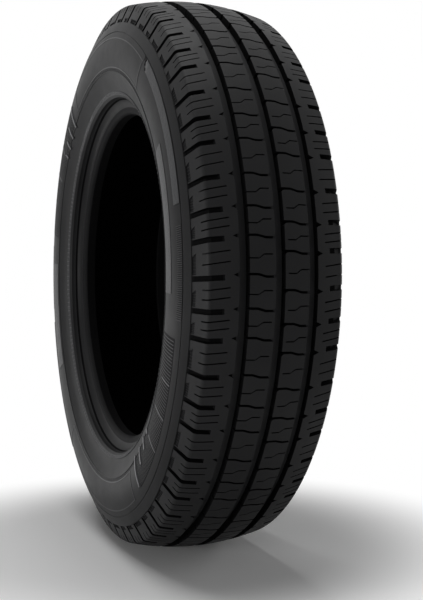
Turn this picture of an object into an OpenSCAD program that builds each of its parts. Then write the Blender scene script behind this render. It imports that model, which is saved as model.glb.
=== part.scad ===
// A van tyre, standing upright on its tread and turning about the Y axis.
// It is one moulded piece of rubber, with its origin at the wheel's centre.
// Angles run about the Y axis, from +X up towards +Z.

/* [Tyre size] */
// Outer diameter over the middle of the tread
outer_d = 684; // [660:1:720]
// Width over the sidewalls at their widest
section_w = 184; // [176:1:196]
// Diameter of the rim's bead seat
bead_seat_d = 405.6; // [400:0.1:412]
// Width over the outer faces of the two beads, as they sit on the rim
bead_set_w = 127; // [114:1:140]
// How far the widest place lies below the middle of the section's height
widest_drop = 0.4; // [-4:0.1:4]
// How far the sidewalls' round would run past the tread and past the bead seat
round_over = 22.4; // [12:0.1:30]

/* [Walls] */
// Thickness of the crown, from the tread down to the inner liner
crown_t = 17.5; // [15:0.5:24]
// Thickness of the sidewall at its widest
sidewall_t = 7.5; // [5:0.5:11]
// Width of a bead's base, from heel to toe
bead_base_w = 16; // [13:0.5:22]
// Height above the seat at which the thick foot of the sidewall ends, inside
bead_h = 42; // [34:1:50]
// Height of the bead's flat inner face, above the seat
toe_face_h = 4; // [3:0.5:8]
// Radius of the liner's arc under the crown
liner_arc = 200; // [150:5:260]
// Radius of the rounded heel of the bead
heel_r = 6; // [3:0.5:8]
// Radius of the rounded toe of the bead
toe_r = 2; // [1:0.5:4]
// Radius of the hollow that the rim's flange fills
flange_r = 14; // [10:0.5:16]

/* [Tread] */
// Distance of a shoulder edge inside the widest place of its sidewall
shoulder_in = 19; // [14:0.5:24]
// Drop of the shoulder edge below the middle of the tread
shoulder_drop = 9.6; // [6:0.2:13]
// Radius of the rounded shoulder edge
shoulder_r = 6; // [3:0.5:9]
// Depth of the three grooves that run round the tread
groove_depth = 8.2; // [5:0.2:10]
// Width of such a groove at the tread
groove_w = 10.4; // [7:0.2:13]
// Slope of a groove's wall, as the width lost from top to floor
groove_draft = 0.5; // [0:0.1:2]
// Distance of the two outer grooves from the middle one
groove_pitch = 37.5; // [32:0.5:42]

/* [Buttress] */
// Height of the tread band, from the crown down to the step in the sidewall
band_h = 30.5; // [24:0.5:36]
// Height of that step
step_h = 0.9; // [0.4:0.1:2]
// Width of the sunken fields between the shoulder slots, measured down the buttress
field_w = 5.2; // [3:0.2:8]
// Depth of a sunken field
field_depth = 1.1; // [0.5:0.1:2]
// Wall left between a field and the slot below it
field_wall = 1.2; // [0.6:0.1:3]
// Length of the raised tab between a shoulder slot and its field, at the step
tab_l = 11; // [6:0.5:14]
// How much shorter that tab is at the field's outer edge
tab_slant = 3.4; // [0:0.2:6]

/* [Pattern] */
// Number of times that the run of three pitches repeats round the tyre
pitch_runs = 21; // [18:1:23]
// Length of the short pitch, as a share of the medium one
short_pitch = 0.87; // [0.7:0.01:1]
// Length of the long pitch, as a share of the medium one
long_pitch = 1.14; // [1:0.01:1.3]

/* [Rib slots] */
// Width of the slot that crosses a middle rib
rib_slot_w = 2.5; // [1.5:0.1:4]
// Depth of that slot
rib_slot_depth = 6.5; // [3:0.1:7.5]
// Sideways step of the slot along the tyre's round, from one end to the other
rib_slot_jog = 2.4; // [0:0.1:4]
// How far the slot's outer end lies above its notch, along the tyre's round
rib_slot_rise = 0.6; // [-1:0.1:2]
// Width of the rounded block corner where the slot meets the middle groove
corner_w = 3.4; // [1:0.1:5]

/* [Shoulder slots] */
// Width of the slot that crosses the shoulder
shoulder_slot_w = 5.6; // [3:0.1:8]
// Depth of that slot
shoulder_slot_depth = 6; // [3:0.1:8]
// Distance from the slot's closed end to the shoulder edge
shoulder_slot_l = 16; // [10:0.5:22]
// Depth of that slot where it runs out at the step
slot_run_out = 1.6; // [0.6:0.1:3]
// Slant of the slot
slot_slant = 3.6; // [0:0.2:8]
// How far the slot lies below its notch, along the tyre's round
slot_lag = 2.8; // [0:0.1:5]
// Depth of the notch at the edge of the outer groove
notch_depth = 5; // [2:0.1:7]
// Reach of the notch into the shoulder
notch_l = 6; // [3:0.1:9]
// Width of the notch at the groove
notch_w = 5.4; // [3:0.1:8]

/* [Sidewall rings] */
// Height of the raised rings
ring_h = 0.6; // [0.3:0.1:1.2]
// Width of the thin ring lines
line_w = 1.1; // [0.6:0.1:2]
// Height above the bead seat at which the ring along the rim begins
rim_ring_h = 23; // [21:0.5:26]
// Width of the ring along the rim
rim_ring_w = 4; // [2:0.5:6]
// Height above the bead seat of the inner ring line
inner_line_h = 49.5; // [44:0.5:56]
// Depth of the outer ring line below the step of the tread band
outer_line_drop = 12.2; // [8:0.1:20]
// Depth of the hollow band between the rim's ring and the inner line
hollow_depth = 1.2; // [0.4:0.1:2]

/* [Hidden] */
$fa = 2;
$fs = 1.2;

// Overshoot of a cut into an open groove, and out of the tyre
past = 1;
over = 8;

// Radii of the section, from the wheel's axis
outer_r = outer_d/2;
seat_r = bead_seat_d/2;
widest_r = (outer_r + seat_r)/2 - widest_drop;
wall_r = section_w/2;
liner_r = wall_r - sidewall_t;
step_r = outer_r - band_h;
shoulder_rad = outer_r - shoulder_drop;
crown_in_r = outer_r - crown_t;
foot_r = seat_r + bead_h;

// How much taller than wide the sidewalls' round is
stretch = ((outer_r - seat_r)/2 + round_over)/wall_r;

// Half widths of the section, from the middle plane
function round_y(r, wall) = sqrt(wall*wall - pow((r - widest_r)/stretch, 2));
bead_y = bead_set_w/2;
toe_y = bead_y - bead_base_w;
foot_y = round_y(foot_r, liner_r);
shoulder_y = wall_r - shoulder_in;
step_y = round_y(step_r, wall_r) - step_h;

// The crown's arc, which runs from one shoulder edge to the other
crown_arc = (shoulder_y*shoulder_y + shoulder_drop*shoulder_drop)/(2*shoulder_drop);
crown_centre = [outer_r - crown_arc, 0];
function crown_rad(y) = crown_centre[0] + sqrt(crown_arc*crown_arc - y*y);

// The buttress, a straight slope from the step up to the shoulder edge
buttress_a = atan2(step_y - shoulder_y, shoulder_rad - step_r);
up_slope = [cos(buttress_a), -sin(buttress_a)];
out_slope = [sin(buttress_a), cos(buttress_a)];

// Centre of the round that joins the buttress and the crown
round_start = [step_r, step_y] - shoulder_r*out_slope - crown_centre;
round_reach = crown_arc - shoulder_r;
round_along = round_start*up_slope;
round_t = sqrt(round_along*round_along - round_start*round_start + round_reach*round_reach)
    - round_along;
round_centre = crown_centre + round_start + round_t*up_slope;
crown_dir = (round_centre - crown_centre)/round_reach;

// Half of the tread band's outline, from the middle out, straight across each rib
round_steps = 3;
crown_end_a = atan2(crown_dir[1], crown_dir[0]);
round_step = (90 - buttress_a - crown_end_a)/round_steps;
function crown_point(y) = [crown_rad(y), y];
function shoulder_point(a) = round_centre + shoulder_r/cos(round_step/2)*[cos(a), sin(a)];
half_band = concat(
    [[outer_r, groove_w/2], crown_point(groove_pitch), crown_point((groove_pitch + shoulder_y)/2)],
    [for (i = [0:round_steps - 1]) shoulder_point(crown_end_a + (i + 0.5)*round_step)],
    [[step_r, step_y], [step_r - over, step_y]]);
other_half = [for (i = [len(half_band) - 1:-1:0]) [half_band[i][0], -half_band[i][1]]];

// Pitches: a run of three lengths, in degrees
medium_a = 360/(pitch_runs*(1 + short_pitch + long_pitch));
pitch_a = [medium_a, short_pitch*medium_a, long_pitch*medium_a];
start_a = [0, pitch_a[0], pitch_a[0] + pitch_a[1]];
run_a = 360/pitch_runs;
side_shift_a = medium_a/2;
function arc_a(l, r) = l/r*180/PI;
function arc_l(a, r) = a*r*PI/180;

// Edges of the ribs on the -Y side, and what is cut into them
shoulder_rib_y = -groove_pitch - groove_w/2;
rib_out_y = -groove_pitch + groove_w/2;
rib_in_y = -groove_w/2;
rib_w = rib_in_y - rib_out_y;
slot_bends = [0.32, 0.62];
slot_y = -shoulder_y + shoulder_slot_l;
slot_floor_bend = [-1, 0.9];
slot_step_z = -slot_lag - (step_y + slot_y)*tan(slot_slant);

rubber = [0.09, 0.09, 0.095];

// The section between two radii, on both sides
module strip(r0, r1) {
    translate([r0, -section_w]) square([r1 - r0, 2*section_w]);
}

// A round of the section about its widest place, of the half width given
module wall_round(half_w) {
    translate([widest_r, 0]) scale([stretch, 1]) circle(half_w);
}

// What rounds off a corner at the origin, whose body lies towards -x and -y
module corner(r) {
    difference() {
        translate([-r, -r]) square([r + past, r + past]);
        translate([-r, -r]) circle(r);
    }
}

// One of the three grooves that run round the tread
module groove_section(y) {
    floor_r = crown_rad(y) - groove_depth;
    translate([0, y]) polygon([
        [floor_r, groove_w/2 - groove_draft], [outer_r + past, groove_w/2],
        [outer_r + past, -groove_w/2], [floor_r, groove_draft - groove_w/2]]);
}

// The tread band: crown, grooves, rounded shoulders and buttresses
module band_section() {
    difference() {
        polygon(concat(half_band, other_half));
        for (side = [-1, 0, 1]) groove_section(side*groove_pitch);
    }
}

// The sidewalls, with their rings, and the outer faces of the beads
module wall_section() {
    difference() {
        union() {
            translate([seat_r, -bead_y]) square([heel_r + past, 2*bead_y]);
            intersection() {
                wall_round(wall_r);
                strip(seat_r + heel_r, step_r);
            }
            intersection() {
                wall_round(wall_r + ring_h);
                union() {
                    strip(seat_r + rim_ring_h, seat_r + rim_ring_h + rim_ring_w);
                    strip(seat_r + inner_line_h, seat_r + inner_line_h + line_w);
                    strip(step_r - outer_line_drop, step_r - outer_line_drop + line_w);
                }
            }
        }
        for (side = [-1, 1]) scale([1, side]) {
            translate([seat_r + heel_r, bead_y + flange_r]) circle(flange_r);
            translate([seat_r, bead_y]) mirror([1, 0]) corner(heel_r);
            hollow_band();
        }
    }
}

// The shallow hollow between the rim's ring and the inner ring line, on the +Y side
module hollow_band() {
    r0 = seat_r + rim_ring_h + rim_ring_w;
    r1 = seat_r + inner_line_h;
    ends = [[r0, round_y(r0, wall_r)], [r1, round_y(r1, wall_r)]];
    middle = (ends[0] + ends[1])/2;
    chord = ends[1] - ends[0];
    out = [-chord[1], chord[0]]/norm(chord);
    arc = (chord*chord/4 + hollow_depth*hollow_depth)/(2*hollow_depth);
    translate(middle + (arc - hollow_depth)*out) circle(arc);
}

// The air space inside, with the gap between the beads
module air_section() {
    intersection() {
        wall_round(liner_r);
        translate([crown_in_r - liner_arc, 0]) circle(liner_arc);
        strip(foot_r - past, outer_r);
    }
    polygon([[seat_r - past, -toe_y], [seat_r + toe_face_h, -toe_y], [foot_r, -foot_y],
        [foot_r, foot_y], [seat_r + toe_face_h, toe_y], [seat_r - past, toe_y]]);
    for (side = [-1, 1]) scale([1, side])
        translate([seat_r, toe_y]) mirror([1, 0]) mirror([0, 1]) corner(toe_r);
}

// The carcass: the section turned about the Y axis, before the tread is cut across
module carcass() {
    rotate([-90, 0, 0]) rotate_extrude() difference() {
        union() {
            band_section();
            wall_section();
        }
        air_section();
    }
}

// Cuts its child, drawn as axial by round-the-tyre lengths, from radius r outwards
module radial_cut(r) {
    translate([r, 0, 0]) rotate([90, 0, 90])
        linear_extrude(outer_r + over - r) children();
}

// The wavy slot across a middle rib, with its rounded block corner
module rib_slot() {
    high = rib_slot_rise + rib_slot_w/2;
    low = high - rib_slot_jog;
    bend_0 = rib_out_y + slot_bends[0]*rib_w;
    bend_1 = rib_out_y + slot_bends[1]*rib_w;
    radial_cut(crown_rad((rib_out_y + rib_in_y)/2) - rib_slot_depth) polygon([
        [rib_out_y - past, high], [bend_0, high], [bend_1, low], [rib_in_y - corner_w, low],
        [rib_in_y, low] + (1 - cos(45))*corner_w*[-1, 1],
        [rib_in_y + past, low + corner_w + past*tan(67.5)],
        [rib_in_y + past, low - rib_slot_w], [bend_1, low - rib_slot_w],
        [bend_0, high - rib_slot_w], [rib_out_y - past, high - rib_slot_w]]);
}

// The thick slot across the shoulder, which runs down the buttress to the step
module shoulder_slot() {
    floor_edge = [shoulder_rad, -shoulder_y] + shoulder_slot_depth*slot_floor_bend;
    translate([0, slot_y, -slot_lag]) rotate([slot_slant, 0, 0]) translate([0, -slot_y, 0])
        linear_extrude(shoulder_slot_w, center = true)
            polygon([
                [outer_r + over, slot_y], [crown_rad(slot_y) - shoulder_slot_depth, slot_y],
                floor_edge, [step_r, slot_run_out - step_y],
                [step_r, -section_w], [outer_r + over, -section_w]]);
}

// The notch in the shoulder rib, at the edge of the outer groove
module notch() {
    half_w = notch_w/2*(notch_l + past)/notch_l;
    radial_cut(crown_rad(shoulder_rib_y) - notch_depth)
        polygon([[shoulder_rib_y - notch_l, 0], [shoulder_rib_y + past, -half_w],
            [shoulder_rib_y + past, half_w]]);
}

// The sunken field on the buttress, between a tab above it and the slot below it
module field(a) {
    low = slot_step_z + shoulder_slot_w/2 + field_wall;
    high = arc_l(a, step_r) + slot_step_z - shoulder_slot_w/2 - tab_l;
    middle = (low + high)/2;
    rotate([0, -arc_a(middle, step_r), 0]) translate([step_r, -step_y, 0])
        rotate([90, 0, buttress_a]) translate([0, 0, -field_depth]) linear_extrude(over)
            polygon([[0, low - middle], [field_w, low - middle],
                [field_w, high - middle + tab_slant], [0, high - middle]]);
}

// All the cuts of one pitch on the -Y side: its slot lies at angle 0, its block above that
module pitch_cuts(a) {
    rib_slot();
    notch();
    shoulder_slot();
    field(a);
}

module tyre() {
    color(rubber) difference() {
        carcass();
        for (run = [0:pitch_runs - 1], k = [0:2])
            rotate([0, run*run_a + start_a[k] + pitch_a[k], 0]) pitch_cuts(pitch_a[k]);
        for (run = [0:pitch_runs - 1], k = [0:2])
            rotate([0, run*run_a + start_a[k] + side_shift_a, 0])
                rotate([180, 0, 0]) pitch_cuts(pitch_a[k]);
    }
}

tyre();
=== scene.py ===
import math

import bpy
from mathutils import Matrix, Vector


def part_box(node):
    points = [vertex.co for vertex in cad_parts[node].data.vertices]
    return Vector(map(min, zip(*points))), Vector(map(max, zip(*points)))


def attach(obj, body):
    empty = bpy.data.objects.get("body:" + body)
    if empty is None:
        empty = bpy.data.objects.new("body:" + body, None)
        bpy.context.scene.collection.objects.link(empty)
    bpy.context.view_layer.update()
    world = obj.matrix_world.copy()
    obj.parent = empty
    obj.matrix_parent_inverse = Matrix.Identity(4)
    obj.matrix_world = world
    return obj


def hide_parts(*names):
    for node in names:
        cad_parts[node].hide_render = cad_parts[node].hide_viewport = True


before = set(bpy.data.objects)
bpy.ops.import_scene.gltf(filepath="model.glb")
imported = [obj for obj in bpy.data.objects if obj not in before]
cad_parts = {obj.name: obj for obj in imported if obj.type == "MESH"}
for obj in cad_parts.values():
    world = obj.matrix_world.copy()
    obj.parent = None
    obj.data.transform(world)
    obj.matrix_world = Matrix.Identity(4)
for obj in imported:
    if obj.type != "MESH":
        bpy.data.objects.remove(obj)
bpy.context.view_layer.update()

bl_info = {
    "name": "Van tyre",
    "version": (1, 0, 0),
    "blender": (4, 5, 0),
    "location": "3D View > Sidebar > Tyre",
    "description": "Models a van tyre with its cut tread and its moulded sidewalls",
    "category": "Mesh",
}

MM = 0.001
TYRE_LOW, TYRE_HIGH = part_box("tyre")

# The sidewalls' names, and the side of the middle plane that each lies on
SIDES = {"front": -1, "back": 1}

# Faces round a whole ring
RING_STEPS = 360

# How far a cutter reaches past an edge, and how far it stands out of the tread
PAST = 1 * MM
OVER = 2 * MM

# Scales of the noises in the rubber, per metre
CLOUDS, PATCHES, PITS, GRAIN = 14.0, 55.0, 420.0, 1400.0

# Height of the camera's sensor in millimetres
SENSOR_H = 36

# The place and the size of each area light
LIGHTS = {
    "top_light": ((0.0, -0.3, 1.8), (1.3, 1.1)),
    "side_light": ((0.6, -2.0, -0.1), (1.4, 0.4)),
    "back_light": ((0.1, 2.2, 0.5), (1.8, 1.0)),
    "sheen_light": ((-1.3, -1.2, -0.24), (0.8, 0.18)),
}


def length(name, description, value):
    return bpy.props.FloatProperty(name=name, description=description, default=value, min=0.0,
                                   precision=5, subtype="DISTANCE", unit="LENGTH")


def angle(name, description, degrees):
    return bpy.props.FloatProperty(name=name, description=description, default=math.radians(degrees),
                                   precision=4, subtype="ANGLE", unit="ROTATION")


def share(name, description, value):
    return bpy.props.FloatProperty(name=name, description=description, default=value, min=0.0, max=1.0,
                                   precision=4, subtype="FACTOR")


def power(name, description, value):
    return bpy.props.FloatProperty(name=name, description=description, default=value, min=0.0,
                                   unit="POWER")


def colour(name, description, value):
    return bpy.props.FloatVectorProperty(name=name, description=description, default=value, size=3,
                                         min=0.0, max=1.0, subtype="COLOR")


class TyreSection(bpy.types.PropertyGroup):
    outer_r: length("Outer radius", "Radius over the middle of the tread", round(TYRE_HIGH.z, 4))
    wall_r: length("Wall round", "Radius of the sidewalls' round, half the section's width",
                   round(TYRE_HIGH.y, 3))
    widest_r: length("Widest radius", "Radius at which the section is widest", 272 * MM)
    seat_r: length("Seat radius", "Radius of the bead seat", 202.8 * MM)
    step_r: length("Step radius", "Radius of the step between the tread band and the sidewall", 311.5 * MM)
    step_h: length("Step height", "How far the sidewall stands proud at the step", 0.9 * MM)
    tread_y: length("Half tread", "Half the width between the shoulder edges", 73 * MM)
    shoulder_drop: length("Shoulder drop", "Drop of the shoulder edge below the middle", 9.6 * MM)
    shoulder_r: length("Shoulder round", "Radius of the shoulder edge", 6 * MM)
    groove_y: length("Groove place", "Distance of the outer grooves from the middle", 37.5 * MM)
    groove_w: length("Groove width", "Width of a groove at the tread", 10.4 * MM)
    groove_depth: length("Groove depth", "Depth of the grooves", 8.2 * MM)
    groove_draft: length("Groove draft", "Width that a groove's wall loses towards its floor", 0.5 * MM)
    crown_t: length("Crown thickness", "Thickness from the tread to the liner", 17.5 * MM)
    wall_t: length("Wall thickness", "Thickness of the sidewall at its widest", 7.5 * MM)
    liner_arc: length("Liner arc", "Radius of the liner's arc under the crown", 200 * MM)
    bead_y: length("Bead place", "Half the width over the beads' outer faces", 63.5 * MM)
    bead_w: length("Bead width", "Width of a bead's base", 16 * MM)
    bead_h: length("Foot height", "Height of the bead's thick foot above the seat", 42 * MM)
    heel_r: length("Heel round", "Radius of the bead's heel", 6 * MM)
    toe_r: length("Toe round", "Radius of the bead's toe", 2 * MM)
    toe_h: length("Toe height", "Height of the bead's flat inner face", 4 * MM)
    flange_r: length("Flange hollow", "Radius of the hollow that the rim's flange fills", 14 * MM)


class TyrePattern(bpy.types.PropertyGroup):
    runs: bpy.props.IntProperty(name="Runs", description="Number of runs of three pitches", default=21)
    short: share("Short pitch", "Length of the short pitch, as a share of the medium one", 0.87)
    long_extra: share("Long pitch", "What the long pitch has over the medium one, as a share", 0.14)
    slot_w: length("Slot width", "Width of the slot across a middle rib", 2.5 * MM)
    slot_depth: length("Slot depth", "Depth of that slot", 6.5 * MM)
    slot_rise: length("Slot rise", "How far its outer end lies above its notch", 0.6 * MM)
    slot_jog: length("Slot jog", "Sideways step of the slot", 2.4 * MM)
    corner_w: length("Corner", "Width of the rounded block corner at the middle groove", 3.4 * MM)
    sipe_w: length("Sipe width", "Width of the thin sipes", 1.3 * MM)
    sipe_depth: length("Sipe depth", "Depth of the thin sipes", 5 * MM)
    rib_sipe_share: share("Rib sipe place", "Place of a rib's sipe, as a share of the pitch", 0.425)
    rib_sipe_rise: length("Rib sipe rise", "Sideways step of a rib's sipe", 3.9 * MM)
    rib_sipe_reach: share("Rib sipe reach", "Length of a rib's sipe, as a share of the rib", 0.88)
    shoulder_w: length("Shoulder slot width", "Width of the slot across the shoulder", 5.6 * MM)
    shoulder_depth: length("Shoulder slot depth", "Depth of that slot", 6 * MM)
    shoulder_l: length("Shoulder slot length", "Distance from its closed end to the edge", 16 * MM)
    shoulder_lag: length("Shoulder slot lag", "How far it lies below its notch", 2.8 * MM)
    shoulder_slant: angle("Shoulder slot slant", "Slant of the shoulder slot", 3.6)
    run_out: length("Run-out", "Depth of the shoulder slot at the step", 1.6 * MM)
    sipe_l: length("Shoulder sipe length", "Distance from a shoulder sipe's closed end to the edge",
                   21.5 * MM)
    first_sipe: share("First shoulder sipe", "Place of the first one, as a share of the pitch", 0.35)
    second_sipe: share("Second shoulder sipe", "Place of the second one, as a share of the pitch", 0.63)
    sipe_slant: angle("Shoulder sipe slant", "Slant of the shoulder sipes", 8.6)
    sipe_drop: length("Shoulder sipe drop", "How far the sipes run down the buttress", 9 * MM)
    notch_depth: length("Notch depth", "Depth of the notch beside the outer groove", 5 * MM)
    notch_l: length("Notch length", "Reach of the notch into the shoulder", 6 * MM)
    notch_w: length("Notch width", "Width of the notch at the groove", 5.4 * MM)
    field_w: length("Field width", "Width of the sunken fields, measured down the buttress", 5.2 * MM)
    field_depth: length("Field depth", "Depth of a sunken field", 1.1 * MM)
    field_wall: length("Field wall", "Wall left between a field and the slot below it", 1.2 * MM)
    tab_l: length("Tab length", "Length of the raised tab above a field, at the step", 11 * MM)
    tab_slant: length("Tab slant", "How much shorter the tab is at its outer edge", 3.4 * MM)
    serrations: bpy.props.IntProperty(name="Serrations", description="Fine ribs in a field", default=5)
    serration_w: length("Serration width", "Width of a fine rib in a field", 0.5 * MM)
    serration_h: length("Serration height", "Height of a fine rib in a field", 0.55 * MM)
    serration_gap: length("Serration gap", "Distance of the fine ribs from the step", 0.3 * MM)


class TyreWalls(bpy.types.PropertyGroup):
    line_w: length("Line width", "Width of the thin ring lines", 1.1 * MM)
    line_h: length("Line height", "Height of the thin ring lines", 0.6 * MM)
    outer_line_r: length("Outer line", "Radius of the outer ring line", 300.4 * MM)
    inner_line_r: length("Inner line", "Radius of the inner ring line", 253.4 * MM)
    rim_ring_r: length("Rim ring", "Inner radius of the ring along the rim", 225.8 * MM)
    rim_ring_w: length("Rim ring width", "Width of the ring along the rim", 4 * MM)
    hollow_depth: length("Hollow depth", "Depth of the hollow band inside the inner line", 1.6 * MM)
    plate_h: length("Plate height", "Height of the raised plates", 0.5 * MM)
    rib_h: length("Rib height", "Height of the fine ribs", 0.35 * MM)
    rib_w: length("Rib width", "Width of the fine ribs", 0.7 * MM)
    bar_h: length("Bar height", "Height of the bold bars", 1.2 * MM)
    bar_w: length("Bar width", "Width of the bold bars", 3.2 * MM)


class TyreStudio(bpy.types.PropertyGroup):
    camera_at: bpy.props.FloatVectorProperty(
        name="Camera place", description="Place of the camera", default=(1.2638, -0.4265, -0.0042),
        subtype="XYZ", unit="LENGTH")
    camera_azimuth: angle("Camera azimuth", "Turn of the camera round the tyre", 69.049)
    camera_pitch: angle("Camera pitch", "Downward tilt of the camera", 1.171)
    camera_lens: bpy.props.FloatProperty(name="Lens", description="Focal length in millimetres",
                                         default=61.64)
    floor_w: length("Floor width", "Width of the pale floor", 14.0)
    floor_colour: colour("Floor colour", "Colour of the pale floor", (0.86, 0.86, 0.86))
    floor_gain: bpy.props.FloatProperty(name="Floor gain", default=1.3,
                                        description="How much lighter the floor looks than it lights")
    floor_near: length("Shadow's near end", "Distance at which the floor starts to turn white", 0.4)
    floor_far: length("Shadow's far end", "Distance beyond which the floor is white", 0.58)
    top_light: power("Top light", "Power of the light overhead", 16.0)
    side_light: power("Side light", "Power of the light at the left", 21.0)
    back_light: power("Back light", "Power of the light at the right", 9.0)
    sheen_light: power("Sheen light", "Power of the light behind", 1.8)
    sky_strength: bpy.props.FloatProperty(name="Sky", description="Strength of the light all round",
                                          default=0.07)
    rubber: colour("Rubber", "Colour of the black rubber", (0.021, 0.021, 0.022))


class Section:
    """The tyre's section, as radii and half widths worked out from the driving sizes."""

    def __init__(self, size):
        self.size = size
        drop = size.shoulder_drop
        self.crown_arc = (size.tread_y ** 2 + drop ** 2) / (2 * drop)
        self.edge_r = size.outer_r - drop
        self.step_y = self.wall_y(size.step_r) - size.step_h
        run = Vector((size.step_r - self.edge_r, self.step_y - size.tread_y))
        self.buttress_l = run.length
        self.down_slope = run.normalized()
        self.out_slope = Vector((self.down_slope.y, -self.down_slope.x))
        self.buttress_a = math.atan2(self.down_slope.y, -self.down_slope.x)

    def wall_y(self, r, grow=0.0):
        reach = self.size.wall_r + grow
        return math.sqrt(reach ** 2 - (r - self.size.widest_r) ** 2)

    def crown_r(self, y):
        return self.size.outer_r - self.crown_arc + math.sqrt(self.crown_arc ** 2 - y ** 2)

    def slope_point(self, drop, depth=0.0):
        """A point down the buttress from the shoulder edge, sunk by a depth, as radius and half width."""
        edge = Vector((self.edge_r, self.size.tread_y))
        return edge + drop * self.down_slope - depth * self.out_slope

    def liner_y(self, r):
        size = self.size
        inner = size.wall_r - size.wall_t
        round_y = math.sqrt(max(inner ** 2 - (r - size.widest_r) ** 2, 0.0))
        arc_centre = size.outer_r - size.crown_t - size.liner_arc
        return min(round_y, math.sqrt(max(size.liner_arc ** 2 - (r - arc_centre) ** 2, 0.0)))


def section():
    return Section(bpy.context.scene.tyre_section)


def deselect():
    bpy.ops.object.select_all(action="DESELECT")


def activate(piece):
    deselect()
    piece.select_set(True)
    bpy.context.view_layer.objects.active = piece


def trace(name, points):
    """Draws a line from point to point, from a plane merged to one vertex, and leaves it in edit mode."""
    deselect()
    bpy.ops.mesh.primitive_plane_add(size=MM)
    piece = bpy.context.object
    piece.name = piece.data.name = name
    bpy.ops.object.mode_set(mode="EDIT")
    bpy.ops.mesh.select_all(action="SELECT")
    bpy.ops.mesh.merge(type="CENTER")
    bpy.ops.transform.translate(value=points[0])
    for here, there in zip(points, points[1:]):
        move = {"value": Vector(there) - Vector(here)}
        bpy.ops.mesh.extrude_vertices_move(TRANSFORM_OT_translate=move)
    return piece


def prism(name, points, along):
    """A closed solid: the outline filled, and extruded along a vector."""
    piece = trace(name, points)
    bpy.ops.mesh.select_all(action="SELECT")
    bpy.ops.mesh.edge_face_add()
    bpy.ops.mesh.extrude_region_move(TRANSFORM_OT_translate={"value": along})
    bpy.ops.mesh.select_all(action="SELECT")
    bpy.ops.mesh.normals_make_consistent(inside=False)
    bpy.ops.object.mode_set(mode="OBJECT")
    return piece


def ring(name, outline):
    """A closed outline of radii and widths, spun round the axle into a ring."""
    points = [(r, y, 0.0) for r, y in outline]
    piece = trace(name, points + points[:1])
    bpy.ops.mesh.select_all(action="SELECT")
    bpy.ops.mesh.spin(steps=RING_STEPS, angle=2 * math.pi, center=(0, 0, 0), axis=(0, 1, 0))
    bpy.ops.mesh.select_all(action="SELECT")
    bpy.ops.mesh.remove_doubles(threshold=0.01 * MM)
    bpy.ops.mesh.normals_make_consistent(inside=False)
    bpy.ops.object.mode_set(mode="OBJECT")
    return piece


def turned(piece, turn):
    """A copy of a piece with its own mesh, turned by a matrix."""
    twin = piece.copy()
    twin.data = piece.data.copy()
    twin.data.transform(turn)
    bpy.context.collection.objects.link(twin)
    return twin


def joined(pieces, name):
    activate(pieces[0])
    for piece in pieces[1:]:
        piece.select_set(True)
    bpy.ops.object.join()
    pieces[0].name = pieces[0].data.name = name
    return pieces[0]


def discard(pieces):
    for piece in pieces:
        bpy.data.meshes.remove(piece.data)


def axle_turn(up_a):
    """The turn about the axle that takes +X up towards +Z by an angle in radians."""
    return Matrix.Rotation(-up_a, 4, "Y")


def arc_points(centre, radius, start, end, steps):
    return [(centre[0] + radius * math.cos(start + (end - start) * i / steps),
             centre[1] + radius * math.sin(start + (end - start) * i / steps)) for i in range(steps + 1)]


def finish_piece(piece, *materials, sharp=30):
    """Smooths a piece, gives it its materials, and lets it stand for the tyre's solid."""
    activate(piece)
    bpy.ops.object.shade_smooth_by_angle(angle=math.radians(sharp))
    piece.data.materials.clear()
    for material in materials:
        piece.data.materials.append(material)
    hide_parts("tyre")
    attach(piece, "root")


# Materials

class Shader:
    """The node tree of a material or a world, with short calls for its nodes and links."""

    def __init__(self, owner):
        owner.use_nodes = True
        self.tree = owner.node_tree
        self.tree.nodes.clear()

    def node(self, kind, inputs=None, **settings):
        node = self.tree.nodes.new("ShaderNode" + kind)
        for key, value in settings.items():
            setattr(node, key, value)
        for key, value in (inputs or {}).items():
            if isinstance(value, bpy.types.NodeSocket):
                self.tree.links.new(value, node.inputs[key])
            else:
                node.inputs[key].default_value = value
        return node

    def ramp(self, factor, low, high):
        return self.node("MapRange", {"Value": factor, "To Min": low, "To Max": high}).outputs["Result"]

    def sees_background(self):
        """1 for the rays that see the white background: those of the camera, of gloss and of glass."""
        path = self.node("LightPath").outputs
        shown = self.node("Math", {0: path["Is Camera Ray"], 1: path["Is Glossy Ray"]}, operation="ADD")
        return self.node("Math", {0: shown.outputs[0], 1: path["Is Transmission Ray"]}, operation="ADD",
                         use_clamp=True).outputs[0]

    def noise(self, place, scale, detail=4.0):
        return self.node("TexNoise", {"Vector": place, "Scale": scale, "Detail": detail}).outputs["Fac"]


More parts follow.
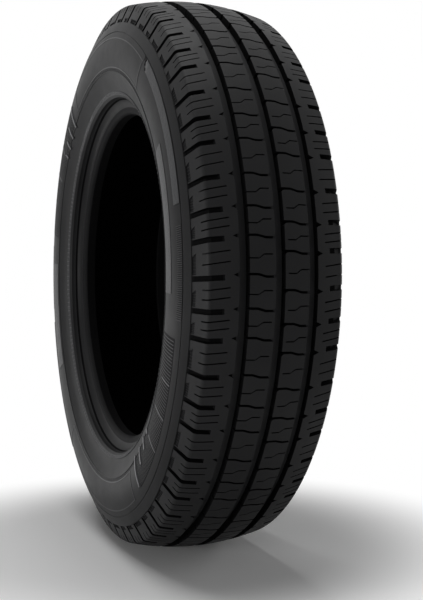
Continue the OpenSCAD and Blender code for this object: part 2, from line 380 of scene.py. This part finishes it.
def rubber(name, roughness, grain, tone_and_painted_light, gloss, pits=0.0):
    """Black moulded rubber: a fine grain, a soft uneven sheen, rounded edges, and pits where it is rough. A
    factor scales its colour: some materials use it for the rubber's own tone, others to paint shade with a
    darker copy and highlights with a lighter one.
    """
    material = bpy.data.materials.new(name)
    shader = Shader(material)
    place = shader.node("TexCoord").outputs["Object"]
    dark = Vector(bpy.context.scene.tyre_studio.rubber) * tone_and_painted_light
    cloudy = shader.noise(place, CLOUDS)
    mix = shader.node("Mix", {"Factor": shader.ramp(cloudy, -0.4, 1.4)}, data_type="RGBA")
    mix.inputs["A"].default_value = (*(dark * 0.8), 1)
    mix.inputs["B"].default_value = (*(dark * 1.25), 1)
    uneven = shader.ramp(shader.noise(place, PATCHES), roughness - 0.07, roughness + 0.07)
    edges = shader.node("Bevel", {"Radius": 0.45 * MM}, samples=4)
    fine = shader.node("Bump", {"Height": shader.noise(place, GRAIN, 2.0), "Strength": grain,
                                "Distance": 0.25 * MM, "Normal": edges.outputs["Normal"]})
    pitted = shader.node("Bump", {"Height": shader.noise(place, PITS, 6.0), "Strength": pits,
                                  "Distance": 0.9 * MM, "Normal": fine.outputs["Normal"]})
    body = shader.node("BsdfPrincipled", {"Base Color": mix.outputs["Result"], "Roughness": uneven,
                                          "IOR": 1.5, "Specular IOR Level": gloss,
                                          "Normal": pitted.outputs["Normal"]})
    shader.node("OutputMaterial", {"Surface": body.outputs["BSDF"]})
    return material


# The tread

def band_outline(shape):
    """Outline of the tread band: crown with its grooves, shoulders, buttresses, and the liner inside."""
    size = shape.size
    half_w = size.groove_w / 2
    floor_w = half_w - size.groove_draft
    crown_steps, shoulder_steps, liner_steps = 4, 6, 16
    outline = []

    def crown_run(start, end):
        for i in range(crown_steps + 1):
            y = start + (end - start) * i / crown_steps
            outline.append((shape.crown_r(y), y))

    def shoulder(side):
        turn_a = math.pi / 2 - shape.buttress_a
        crown_lean = math.asin(size.tread_y / shape.crown_arc)
        corner = (turn_a - crown_lean) / 2
        reach = size.shoulder_r * math.tan(corner)
        edge = Vector((shape.edge_r, size.tread_y))
        out = Vector((math.cos(crown_lean), math.sin(crown_lean)))
        along = Vector((-out.y, out.x))
        centre = edge - along * reach - out * size.shoulder_r
        points = arc_points(centre, size.shoulder_r, crown_lean, turn_a, shoulder_steps)
        return [(r, side * y) for r, y in points]

    # From the step on the front side over the crown to the step on the back side
    outline.append((size.step_r, -shape.step_y))
    outline.extend(reversed(shoulder(-1)))
    crown_edge = size.tread_y - size.shoulder_r / 2
    crown_run(-crown_edge, -size.groove_y - half_w)
    for middle in (-1, 0, 1):
        y = middle * size.groove_y
        floor_r = shape.crown_r(y) - size.groove_depth
        outline.append((floor_r, y - floor_w))
        outline.append((floor_r, y + floor_w))
        end = crown_edge if middle == 1 else y + size.groove_y - half_w
        crown_run(y + half_w, end)
    outline.extend(shoulder(1))
    outline.append((size.step_r, shape.step_y))

    # Back under the crown along the liner
    top = size.outer_r - size.crown_t
    arc_centre = top - size.liner_arc
    reach_y = shape.liner_y(size.step_r)
    lean = math.asin(reach_y / size.liner_arc)
    outline.extend((r, y) for r, y in arc_points((arc_centre, 0.0), size.liner_arc, lean, -lean,
                                                  liner_steps))
    return outline


def rib_slot(shape, cut):
    """Cutter for the wavy slot across a middle rib, with its rounded block corner."""
    size = shape.size
    rib_out = -size.groove_y + size.groove_w / 2
    rib_in = -size.groove_w / 2
    rib_w = rib_in - rib_out
    high = cut.slot_rise + cut.slot_w / 2
    low = high - cut.slot_jog
    bend_0, bend_1 = rib_out + 0.32 * rib_w, rib_out + 0.62 * rib_w
    floor = shape.crown_r((rib_out + rib_in) / 2) - cut.slot_depth
    corner = cut.corner_w
    round_points = arc_points((rib_in - corner, low + corner), corner, -math.pi / 2, -math.pi / 10, 4)
    flat = [(rib_out - PAST, high), (bend_0, high), (bend_1, low), *round_points,
            (rib_in + PAST, low + corner), (rib_in + PAST, low - cut.slot_w), (bend_1, low - cut.slot_w),
            (bend_0, high - cut.slot_w), (rib_out - PAST, high - cut.slot_w)]
    return prism("rib_slot", [(floor, y, z) for y, z in flat], (size.outer_r + OVER - floor, 0, 0))


def rib_sipe(shape, cut, pitch_l):
    """Cutter for the thin bent sipe in the block of a middle rib."""
    size = shape.size
    rib_out = -size.groove_y + size.groove_w / 2
    rib_w = size.groove_y - size.groove_w
    low = cut.rib_sipe_share * pitch_l
    high = low + cut.rib_sipe_rise
    half = cut.sipe_w / 2
    line = [(rib_out - PAST, low), (rib_out + 0.35 * rib_w, low), (rib_out + 0.55 * rib_w, high),
            (rib_out + cut.rib_sipe_reach * rib_w, high)]
    flat = [(y, z + half) for y, z in line] + [(y, z - half) for y, z in reversed(line)]
    floor = shape.crown_r(rib_out + rib_w / 2) - cut.sipe_depth
    return prism("rib_sipe", [(floor, y, z) for y, z in flat], (size.outer_r + OVER - floor, 0, 0))


def notch(shape, cut):
    """Cutter for the notch in the shoulder rib, at the edge of the outer groove."""
    size = shape.size
    edge = -size.groove_y - size.groove_w / 2
    half = cut.notch_w / 2 * (cut.notch_l + PAST) / cut.notch_l
    floor = shape.crown_r(edge) - cut.notch_depth
    flat = [(edge - cut.notch_l, 0.0), (edge + PAST, -half), (edge + PAST, half)]
    return prism("notch", [(floor, y, z) for y, z in flat], (size.outer_r + OVER - floor, 0, 0))


def slanted_slab(name, profile, width, pivot_y, place, slant):
    """A slab of a (radius, across) profile, slanted about its inner end and moved up the tyre's round."""
    slab = prism(name, [(r, y, -width / 2) for r, y in profile], (0, 0, width))
    slab.data.transform(Matrix.Translation((0, pivot_y, place)) @ Matrix.Rotation(slant, 4, "X")
                        @ Matrix.Translation((0, -pivot_y, 0)))
    return slab


def shoulder_slot(shape, cut):
    """Cutter for the thick slot across the shoulder, which runs down the buttress to the step."""
    size = shape.size
    inner = -size.tread_y + cut.shoulder_l
    depth = cut.shoulder_depth
    top = size.outer_r + 2 * OVER
    bend = Vector((shape.edge_r - depth, -size.tread_y + 0.9 * depth))
    end = shape.slope_point(shape.buttress_l, cut.run_out)
    foot = Vector((end.x, -end.y))
    foot = foot + (foot - bend).normalized() * OVER
    wide = -size.wall_r - OVER
    profile = [(top, inner), (shape.crown_r(inner) - depth, inner), tuple(bend), tuple(foot),
               (foot.x, wide), (top, wide)]
    return slanted_slab("shoulder_slot", profile, cut.shoulder_w, inner, -cut.shoulder_lag,
                        cut.shoulder_slant)


def shoulder_sipe(shape, cut, place):
    """Cutter for a thin sipe over the shoulder edge; its place is measured at that edge."""
    size = shape.size
    inner = -size.tread_y + cut.sipe_l
    depth = cut.sipe_depth
    top = size.outer_r + 2 * OVER
    end = shape.slope_point(cut.sipe_drop)
    out = end + 3 * MM * shape.out_slope
    profile = [(top, inner), (shape.crown_r(inner) - depth, inner),
               (shape.edge_r - depth, -size.tread_y + 0.8 * depth), (end.x, -end.y), (out.x, -out.y),
               (top, -size.wall_r)]
    lift = place + cut.sipe_l * math.tan(cut.sipe_slant)
    return slanted_slab("shoulder_sipe", profile, cut.sipe_w, inner, lift, cut.sipe_slant)


def slot_middle_z(shape, cut, half_y):
    """Height of the shoulder slot's middle line where it passes a half width."""
    return -cut.shoulder_lag - (half_y - shape.size.tread_y + cut.shoulder_l) * math.tan(cut.shoulder_slant)


def field_ends(shape, cut, pitch_a):
    """Lower end and upper end of the sunken field at the step, along the tyre's round."""
    middle = slot_middle_z(shape, cut, shape.step_y)
    low = middle + cut.shoulder_w / 2 + cut.field_wall
    high = pitch_a * shape.size.step_r + middle - cut.shoulder_w / 2 - cut.tab_l
    return low, high


def on_slope(piece, shape, up_a):
    """Places a piece drawn as (up the slope, outwards, round the tyre) on the front buttress."""
    foot = shape.slope_point(shape.buttress_l)
    up = Vector((-shape.down_slope.x, shape.down_slope.y, 0))
    out = Vector((shape.out_slope.x, -shape.out_slope.y, 0))
    frame_turn = Matrix((up, out, Vector((0, 0, 1)))).transposed().to_4x4()
    piece.data.transform(axle_turn(up_a) @ Matrix.Translation((foot.x, -foot.y, 0)) @ frame_turn)
    # This frame is left-handed, so the faces are turned back outwards
    piece.data.flip_normals()


def field(shape, cut, pitch_a):
    """Cutter for the sunken field on the buttress, between a tab and the slot below it."""
    low, high = field_ends(shape, cut, pitch_a)
    middle = (low + high) / 2
    slope = cut.tab_slant / cut.field_w
    flat = [(-PAST, low - middle), (cut.field_w, low - middle), (cut.field_w, high - middle + cut.tab_slant),
            (-PAST, high - middle - slope * PAST)]
    cutter = prism("field", [(u, -cut.field_depth, z) for u, z in flat], (0, 4 * MM, 0))
    on_slope(cutter, shape, middle / shape.size.step_r)
    return cutter


def pitches(cut):
    """Angles of the three pitches in a run, in radians."""
    medium = 2 * math.pi / (cut.runs * (2 + cut.short + cut.long_extra))
    return medium, cut.short * medium, (1 + cut.long_extra) * medium


def pitch_turns(cut):
    """For each pitch: its kind, and the turns that put it on the front and the back of the tyre."""
    lengths = pitches(cut)
    half = Matrix.Rotation(math.pi, 4, "X")
    turns = []
    for run in range(cut.runs):
        for kind, pitch_a in enumerate(lengths):
            start = run * 2 * math.pi / cut.runs + sum(lengths[:kind])
            turns.append((kind, axle_turn(-start - pitch_a), axle_turn(-start - lengths[0] / 2) @ half))
    return turns


def pitch_cutters(shape, cut, pitch_a):
    """All the cutters of one pitch on the front side: its slot lies at angle 0, its block above that."""
    pitch_l = pitch_a * shape.size.outer_r
    slot_z = slot_middle_z(shape, cut, shape.size.tread_y)
    places = cut.first_sipe, cut.second_sipe
    sipes = [shoulder_sipe(shape, cut, slot_z + pitch_l * place) for place in places]
    cutters = [rib_slot(shape, cut), rib_sipe(shape, cut, pitch_l), notch(shape, cut),
               shoulder_slot(shape, cut), field(shape, cut, pitch_a), *sipes]
    return joined(cutters, "pitch_cutters")


def serrations(shape, cut, pitch_a):
    """Fine ribs across the sunken field of one pitch, parallel to the slots."""
    low, high = field_ends(shape, cut, pitch_a)
    near, far = cut.serration_gap, cut.field_w
    half = cut.serration_w / 2
    flat = [(near, -half), (far, -half), (far, half), (near, half)]
    ribs = []
    for i in range(cut.serrations):
        z = low + (high - low) * (i + 0.5) / cut.serrations
        rib = prism("serration", [(u, -cut.field_depth, v) for u, v in flat], (0, cut.serration_h, 0))
        on_slope(rib, shape, z / shape.size.step_r)
        ribs.append(rib)
    return joined(ribs, "serrations")


def depth_below(shape, place):
    """How deep a point lies below the uncut tread band."""
    r, y = math.hypot(place.x, place.z), abs(place.y)
    if y < shape.size.tread_y and r > shape.edge_r - 12 * MM:
        return shape.crown_r(y) - r
    return (Vector((shape.edge_r, shape.size.tread_y)) - Vector((r, y))).dot(shape.out_slope)


def paint_light_and_shade_in_cuts(shape, band):
    """Paints shade with darker materials in the slots, grooves and sipes, on the liner and on the sunken
    fields, and paints light with a lighter one on the groove bottoms and shallow slot bottoms.
    """
    shaded_cuts, liner, lit_floors, fields = range(1, 5)
    liner_y, liner_depth, cut_depth = shape.size.tread_y + 8 * MM, 12 * MM, 1.6 * MM
    field_top, field_foot, slot_foot, groove_floor = 0.9 * MM, 1.3 * MM, 3.4 * MM, 7 * MM
    for face in band.data.polygons:
        place = face.center
        depth = depth_below(shape, place)
        outward = face.normal.dot(Vector((place.x, 0, place.z)).normalized())
        if outward < -0.2 and abs(place.y) < liner_y and depth > liner_depth:
            face.material_index = liner
        elif outward > 0.3 and field_top < depth < field_foot:
            face.material_index = fields
        elif outward > 0.3 and (field_foot < depth < slot_foot or depth > groove_floor):
            face.material_index = lit_floors
        elif depth > cut_depth:
            face.material_index = shaded_cuts


class OBJECT_OT_tyre_tread(bpy.types.Operator):
    """Model the tread band and cut its slots, sipes, notches and fields"""
    bl_idname = "object.tyre_tread"
    bl_label = "Tread"

    def execute(self, context):
        shape = section()
        cut = context.scene.tyre_pattern
        band = ring("tread", band_outline(shape))
        masters = [pitch_cutters(shape, cut, pitch_a) for pitch_a in pitches(cut)]
        fine = [serrations(shape, cut, pitch_a) for pitch_a in pitches(cut)]
        copies, ribs = [], []
        for kind, front, back in pitch_turns(cut):
            copies += [turned(masters[kind], front), turned(masters[kind], back)]
            ribs += [turned(fine[kind], front), turned(fine[kind], back)]
        cutters = joined(copies, "cutters")
        activate(band)
        knife = band.modifiers.new("Slots", "BOOLEAN")
        knife.operation, knife.solver, knife.object = "DIFFERENCE", "EXACT", cutters
        bpy.ops.object.modifier_apply(modifier=knife.name)
        discard([cutters, *masters, *fine])
        faces_per_cutter = 20
        if len(band.data.polygons) < faces_per_cutter * len(copies):
            self.report({"ERROR"}, "The tread wasn't cut")
            raise RuntimeError("The tread wasn't cut")
        # Besides the tread rubber: darker copies paint shade in the slots, grooves and sipes, on the liner
        # and on the sunken fields, and a lighter copy paints light on the groove bottoms and shallow slot
        # bottoms
        finish_piece(band,
                     rubber("tread_rubber", roughness=0.5, grain=0.25, tone_and_painted_light=0.62, gloss=0.12),
                     rubber("cut_rubber", roughness=0.7, grain=0.2, tone_and_painted_light=0.2, gloss=0.02),
                     rubber("liner_rubber", roughness=0.75, grain=0.3, tone_and_painted_light=0.15, gloss=0.02),
                     rubber("groove_rubber", roughness=0.55, grain=0.25, tone_and_painted_light=1.2, gloss=0.11),
                     rubber("sunken_rubber", roughness=0.6, grain=0.25, tone_and_painted_light=0.5, gloss=0.05))
        paint_light_and_shade_in_cuts(shape, band)
        # A lighter rubber paints highlights on the fine ribs
        finish_piece(joined(ribs, "buttress_serrations"),
                     rubber("serration_rubber", roughness=0.5, grain=0.2, tone_and_painted_light=0.8, gloss=0.1))
        return {"FINISHED"}


# The sidewalls

def wall_outline(shape, wall):
    """Outline of a sidewall: the outer wall with its rings, the bead, and the liner inside."""
    size = shape.size
    outline = [(size.step_r, shape.wall_y(size.step_r))]

    def wall_run(start, end, grow=0.0):
        steps = max(2, round(abs(end - start) / (2.5 * MM)))
        for i in range(steps + 1):
            r = start + (end - start) * i / steps
            outline.append((r, shape.wall_y(r, grow)))

    line = wall.line_w
    wall_run(size.step_r - 0.5 * MM, wall.outer_line_r)
    wall_run(wall.outer_line_r, wall.outer_line_r - line, -wall.line_h)
    wall_run(wall.outer_line_r - line, wall.inner_line_r)
    wall_run(wall.inner_line_r, wall.inner_line_r - line, wall.line_h)

    # The hollow band, then the ring along the rim
    high = wall.inner_line_r - line
    low = wall.rim_ring_r + wall.rim_ring_w
    hollow_steps = 12
    for i in range(hollow_steps + 1):
        part = i / hollow_steps
        r = high + (low - high) * part
        outline.append((r, shape.wall_y(r, -wall.hollow_depth * math.sin(math.pi * part))))
    wall_run(low, wall.rim_ring_r, wall.line_h)

    # The hollow for the rim's flange, the heel, the land and the toe
    def flange_point(a):
        return (size.seat_r + size.heel_r + size.flange_r * math.sin(a),
                size.bead_y + size.flange_r - size.flange_r * math.cos(a))

    def inside_wall(a):
        r, y = flange_point(a)
        return y <= shape.wall_y(r)

    meet_a = next(math.radians(i) for i in range(90, 0, -1) if inside_wall(math.radians(i)))
    flange_steps = 8
    outline += [flange_point(meet_a * (1 - i / flange_steps)) for i in range(flange_steps + 1)]
    heel = (size.seat_r + size.heel_r, size.bead_y - size.heel_r)
    outline += arc_points(heel, size.heel_r, math.pi / 2, math.pi, 6)[1:]
    toe_y = size.bead_y - size.bead_w
    toe = (size.seat_r + size.toe_r, toe_y + size.toe_r)
    outline += arc_points(toe, size.toe_r, math.pi, math.pi * 1.5, 4)
    outline.append((size.seat_r + size.toe_h, toe_y))

    # The liner, back up to the step
    foot_r = size.seat_r + size.bead_h
    liner_steps = 24
    for i in range(liner_steps + 1):
        r = foot_r + (size.step_r - foot_r) * i / liner_steps
        outline.append((r, shape.liner_y(r)))
    return outline


def paint_light_and_shade_on_wall(shape, wall, piece, side):
    """Paints shade with darker materials on the inside and the heel of a sidewall, and a highlight with a
    lighter one on the ring along the rim.
    """
    inside, rim_ring_highlight, heel = range(1, 4)
    size = shape.size
    heel_top = size.seat_r + size.heel_r
    for face in piece.data.polygons:
        r = math.hypot(face.center.x, face.center.z)
        y = side * face.center.y
        limit = size.bead_y - 4 * MM if r < heel_top else shape.wall_y(r) - 5 * MM
        if r < size.seat_r + size.flange_r + 4 * MM:
            limit = min(limit, size.bead_y - 1 * MM)
        if y < limit and r < size.step_r - 1 * MM:
            face.material_index = inside
        elif r < heel_top + 4 * MM:
            face.material_index = heel
        elif wall.rim_ring_r - 0.5 * MM < r < wall.rim_ring_r + wall.rim_ring_w:
            face.material_index = rim_ring_highlight


class OBJECT_OT_tyre_sidewalls(bpy.types.Operator):
    """Model both sidewalls with their rings, beads and liner"""
    bl_idname = "object.tyre_sidewalls"
    bl_label = "Sidewalls"

    def execute(self, context):
        shape = section()
        wall = context.scene.tyre_walls
        outline = wall_outline(shape, wall)
        # The sidewall rubber; darker copies paint shade on the inside and on the heel, and a lighter copy
        # paints a highlight on the ring along the rim
        materials = [rubber("sidewall_rubber", roughness=0.42, grain=0.12, tone_and_painted_light=0.6, gloss=0.06),
                     rubber("bead_rubber", roughness=0.75, grain=0.3, tone_and_painted_light=0.15, gloss=0.02),
                     rubber("rim_ring_rubber", roughness=0.36, grain=0.3, tone_and_painted_light=1.5, gloss=0.15, pits=0.9),
                     rubber("heel_rubber", roughness=0.6, grain=0.2, tone_and_painted_light=0.4, gloss=0.04)]
        for name, side in SIDES.items():
            piece = ring("sidewall_" + name, [(r, side * y) for r, y in outline])
            finish_piece(piece, *materials)
            paint_light_and_shade_on_wall(shape, wall, piece, side)
        return {"FINISHED"}


# Raised relief on the sidewalls

def wall_patch(shape, name, low_r, high_r, span, height):
    """A raised patch of the front sidewall, from angle 0 up to a span."""
    steps_r = max(2, round((high_r - low_r) / (4 * MM)))
    line = []
    for i in range(steps_r + 1):
        r = low_r + (high_r - low_r) * i / steps_r
        line.append((r, -shape.wall_y(r, height), 0.0))
    piece = trace(name, line)
    bpy.ops.mesh.select_all(action="SELECT")
    steps_a = max(1, round(math.degrees(span)))
    bpy.ops.mesh.spin(steps=steps_a, angle=span, center=(0, 0, 0), axis=(0, 1, 0))
    bpy.ops.mesh.select_all(action="SELECT")
    bpy.ops.mesh.normals_make_consistent(inside=False)
    bpy.ops.object.mode_set(mode="OBJECT")
    mesh = piece.data
    if sum(face.normal.y * face.area for face in mesh.polygons) > 0:
        mesh.flip_normals()
    sunk = 0.6 * MM
    wall = piece.modifiers.new("Wall", "SOLIDIFY")
    wall.thickness, wall.offset = height + sunk, -1
    bpy.ops.object.modifier_apply(modifier=wall.name)
    return piece


def polar(r_mm, degrees_up):
    a = math.radians(degrees_up)
    return Vector((math.cos(a), 0, math.sin(a))) * r_mm * MM


def slanted_cut(low, high):
    """A cut through two points, each a radius in mm and an angle, that takes off what lies above it."""
    start, end = polar(*low), polar(*high)
    along = end - start
    return start, (-along.z, 0, along.x)


def half_relief(shape, wall):
    """The relief of half a sidewall: its plates, bars and fine ribs, which are given painted highlights, and
    its fields, which are given painted shade.

    Radii are in mm and angles in degrees up from +X, as read off the photo."""
    def patch(name, radii, angles, height, cut=None):
        (low_r, high_r), (low_a, high_a) = radii, angles
        piece = wall_patch(shape, name, low_r * MM, high_r * MM, math.radians(high_a - low_a), height)
        piece.data.transform(axle_turn(math.radians(low_a)))
        if cut:
            activate(piece)
            place, normal = cut
            bpy.ops.object.mode_set(mode="EDIT")
            bpy.ops.mesh.select_all(action="SELECT")
            bpy.ops.mesh.bisect(plane_co=place, plane_no=normal, clear_outer=True, use_fill=True)
            bpy.ops.object.mode_set(mode="OBJECT")
        return piece

    def ribs(name, radii, angles, gap, height, width):
        (low_r, high_r), (low_a, high_a) = radii, angles
        master = wall_patch(shape, name, low_r * MM, high_r * MM, width / (low_r * MM), height)
        count = int((high_a - low_a) / gap)
        made = [turned(master, axle_turn(math.radians(low_a + gap * i))) for i in range(count + 1)]
        discard([master])
        return made

    def rib(name, radii, at, height, width):
        return ribs(name, radii, (at, at), 1, height, width)

    line_w, knurl_w, field_h = 1.2 * MM, 0.8 * MM, 0.12 * MM
    strip_end = slanted_cut((289, 50.2), (301, 54.4))
    plates = [patch("long_strip", (288.5, 299), (14, 54.5), wall.plate_h, strip_end),
              patch("rim_band", (256, 276), (-4, 30), wall.plate_h * 0.8)]
    # These fields are given a darker rubber that paints shade
    fields = [patch("dark_band", (290.5, 299), (-9, 9.7), field_h),
              patch("hatch_field", (256, 289.5), (-55, -13), field_h)]
    fine = ribs("serration", (290.5, 299), (-9, 9.7), 0.42, wall.rib_h, wall.rib_w)
    fine += ribs("hatch", (257, 288.5), (-55, -13.5), 0.75, wall.rib_h, wall.rib_w)
    fine += ribs("line_knurl", (254, 256.5), (55, 178.6), 1.2, wall.rib_h, knurl_w)

    # The outline of the bare panel, as a thin raised line
    panel_ends = 54, 118.5
    for low_r in (257.5, 292):
        fine.append(patch("panel_edge", (low_r, low_r + 1.2), panel_ends, wall.rib_h))
    for at in panel_ends:
        fine += rib("panel_end", (257.5, 293.2), at, wall.rib_h, line_w)

    # The bold bars below, the lines of the hatch field, and the knurl of the rim's ring, which all get
    # painted highlights
    bold = []
    for at, radii in ((-56.0, (249.5, 288)), (-51, (249.5, 272)), (-46.5, (249.5, 266)), (-42.4, (251, 259))):
        bold += rib("bar", radii, at, wall.bar_h, wall.bar_w)
    for at, low_r in ((-23.5, 268), (-32, 262), (-41.3, 264)):
        bold += rib("hatch_line", (low_r, 289), at, wall.plate_h, line_w)
    bold += ribs("rim_knurl", (226.2, 229.6), (0, 178.4), 1.6, wall.line_h + wall.rib_h, knurl_w)
    return {"panels": joined(plates, "panels"), "bars": joined(bold, "bars"),
            "ribs": joined(fine, "ribs"), "fields": joined(fields, "fields")}


class OBJECT_OT_tyre_relief(bpy.types.Operator):
    """Model the raised plates, fine ribs and bars on both sidewalls"""
    bl_idname = "object.tyre_relief"
    bl_label = "Sidewall relief"

    def execute(self, context):
        shape = section()
        masters = half_relief(shape, context.scene.tyre_walls)
        half_turn = axle_turn(math.pi)
        far = Matrix.Rotation(math.pi, 4, "X")
        # Lighter copies of the rubber paint highlights on the panels, bars and ribs; a darker copy paints
        # shade on the fields
        painted_light_finishes = {
            "panels": rubber("panel_rubber", roughness=0.4, grain=0.2, tone_and_painted_light=1.8, gloss=0.12, pits=0.5),
            "bars": rubber("bar_rubber", roughness=0.36, grain=0.2, tone_and_painted_light=4.0, gloss=0.17, pits=0.3),
            "ribs": rubber("rib_rubber", roughness=0.38, grain=0.15, tone_and_painted_light=1.4, gloss=0.14),
            "fields": rubber("field_rubber", roughness=0.6, grain=0.2, tone_and_painted_light=0.5, gloss=0.04),
        }
        for kind, master in masters.items():
            for name, turn in (("front", Matrix.Identity(4)), ("back", far)):
                whole = [turned(master, turn), turned(master, turn @ half_turn)]
                finish_piece(joined(whole, kind + "_" + name), painted_light_finishes[kind])
        discard(masters.values())
        return {"FINISHED"}


# The stage

class OBJECT_OT_tyre_stage(bpy.types.Operator):
    """Set up the pale floor, the soft lights and the camera"""
    bl_idname = "object.tyre_stage"
    bl_label = "Stage"

    def execute(self, context):
        studio = context.scene.tyre_studio
        self.floor(studio)
        for name, (place, size) in LIGHTS.items():
            self.light(name, getattr(studio, name), place, size)
        self.sky(studio)
        self.camera(studio)
        context.scene.view_settings.view_transform = "Standard"
        return {"FINISHED"}

    def floor(self, studio):
        deselect()
        bpy.ops.mesh.primitive_plane_add(size=studio.floor_w, location=(0, 0, TYRE_LOW.z))
        floor = bpy.context.object
        floor.name = floor.data.name = "floor"
        bpy.ops.object.transform_apply(location=True)
        material = bpy.data.materials.new("pale_floor")
        shader = Shader(material)
        base = Vector(studio.floor_colour)
        matte = shader.node("BsdfDiffuse", {"Color": (*base, 1)})
        bright = shader.node("BsdfDiffuse", {"Color": (*(base * studio.floor_gain), 1)})
        glow = shader.node("Emission", {"Color": (1, 1, 1, 1), "Strength": 1.0})
        place = shader.node("TexCoord").outputs["Object"]
        away = shader.node("VectorMath", {0: place}, operation="LENGTH").outputs["Value"]
        far = shader.node("MapRange", {"Value": away, "From Min": studio.floor_near,
                                       "From Max": studio.floor_far},
                          interpolation_type="SMOOTHSTEP").outputs["Result"]
        seen = shader.node("MixShader", {"Fac": far, 1: bright.outputs[0], 2: glow.outputs[0]})
        mix = shader.node("MixShader", {"Fac": shader.sees_background(), 1: matte.outputs[0],
                                        2: seen.outputs[0]})
        shader.node("OutputMaterial", {"Surface": mix.outputs[0]})
        floor.data.materials.append(material)

    def light(self, name, power, place, size):
        lamp = bpy.data.lights.new(name, "AREA")
        lamp.energy, lamp.shape = power, "RECTANGLE"
        lamp.size, lamp.size_y = size
        light = bpy.data.objects.new(name, lamp)
        light.location = place
        light.rotation_euler = Vector(place).to_track_quat("Z", "Y").to_euler()
        bpy.context.collection.objects.link(light)

    def sky(self, studio):
        world = bpy.data.worlds.new("soft_sky")
        bpy.context.scene.world = world
        shader = Shader(world)
        strength = shader.ramp(shader.sees_background(), studio.sky_strength, 1.0)
        glow = shader.node("Background", {"Color": (1, 1, 1, 1), "Strength": strength})
        shader.node("OutputWorld", {"Surface": glow.outputs[0]})

    def camera(self, studio):
        lens = bpy.data.cameras.new("camera")
        lens.sensor_fit, lens.sensor_height, lens.lens = "VERTICAL", SENSOR_H, studio.camera_lens
        camera = bpy.data.objects.new("camera", lens)
        camera.location = studio.camera_at
        camera.rotation_euler = (math.pi / 2 - studio.camera_pitch, 0, studio.camera_azimuth)
        bpy.context.collection.objects.link(camera)
        bpy.context.scene.camera = camera


class VIEW3D_PT_tyre(bpy.types.Panel):
    """The tyre's sizes and the operators that model it"""
    bl_idname = "VIEW3D_PT_tyre"
    bl_label = "Van tyre"
    bl_space_type = "VIEW_3D"
    bl_region_type = "UI"
    bl_category = "Tyre"

    def draw(self, context):
        for operator in OPERATORS:
            self.layout.operator(operator.bl_idname)
        for group in GROUPS:
            box = self.layout.box()
            for name in GROUPS[group].__annotations__:
                box.prop(getattr(context.scene, group), name)


OPERATORS = (OBJECT_OT_tyre_tread, OBJECT_OT_tyre_sidewalls, OBJECT_OT_tyre_relief, OBJECT_OT_tyre_stage)
GROUPS = {"tyre_section": TyreSection, "tyre_pattern": TyrePattern, "tyre_walls": TyreWalls,
          "tyre_studio": TyreStudio}


def register():
    for cls in (*GROUPS.values(), *OPERATORS, VIEW3D_PT_tyre):
        bpy.utils.register_class(cls)
    for name, group in GROUPS.items():
        setattr(bpy.types.Scene, name, bpy.props.PointerProperty(type=group))


def unregister():
    for name in GROUPS:
        delattr(bpy.types.Scene, name)
    for cls in reversed((*GROUPS.values(), *OPERATORS, VIEW3D_PT_tyre)):
        bpy.utils.unregister_class(cls)


def main():
    register()
    bpy.ops.object.tyre_tread()
    bpy.ops.object.tyre_sidewalls()
    bpy.ops.object.tyre_relief()
    bpy.ops.object.tyre_stage()


if __name__ == "__main__":
    main()
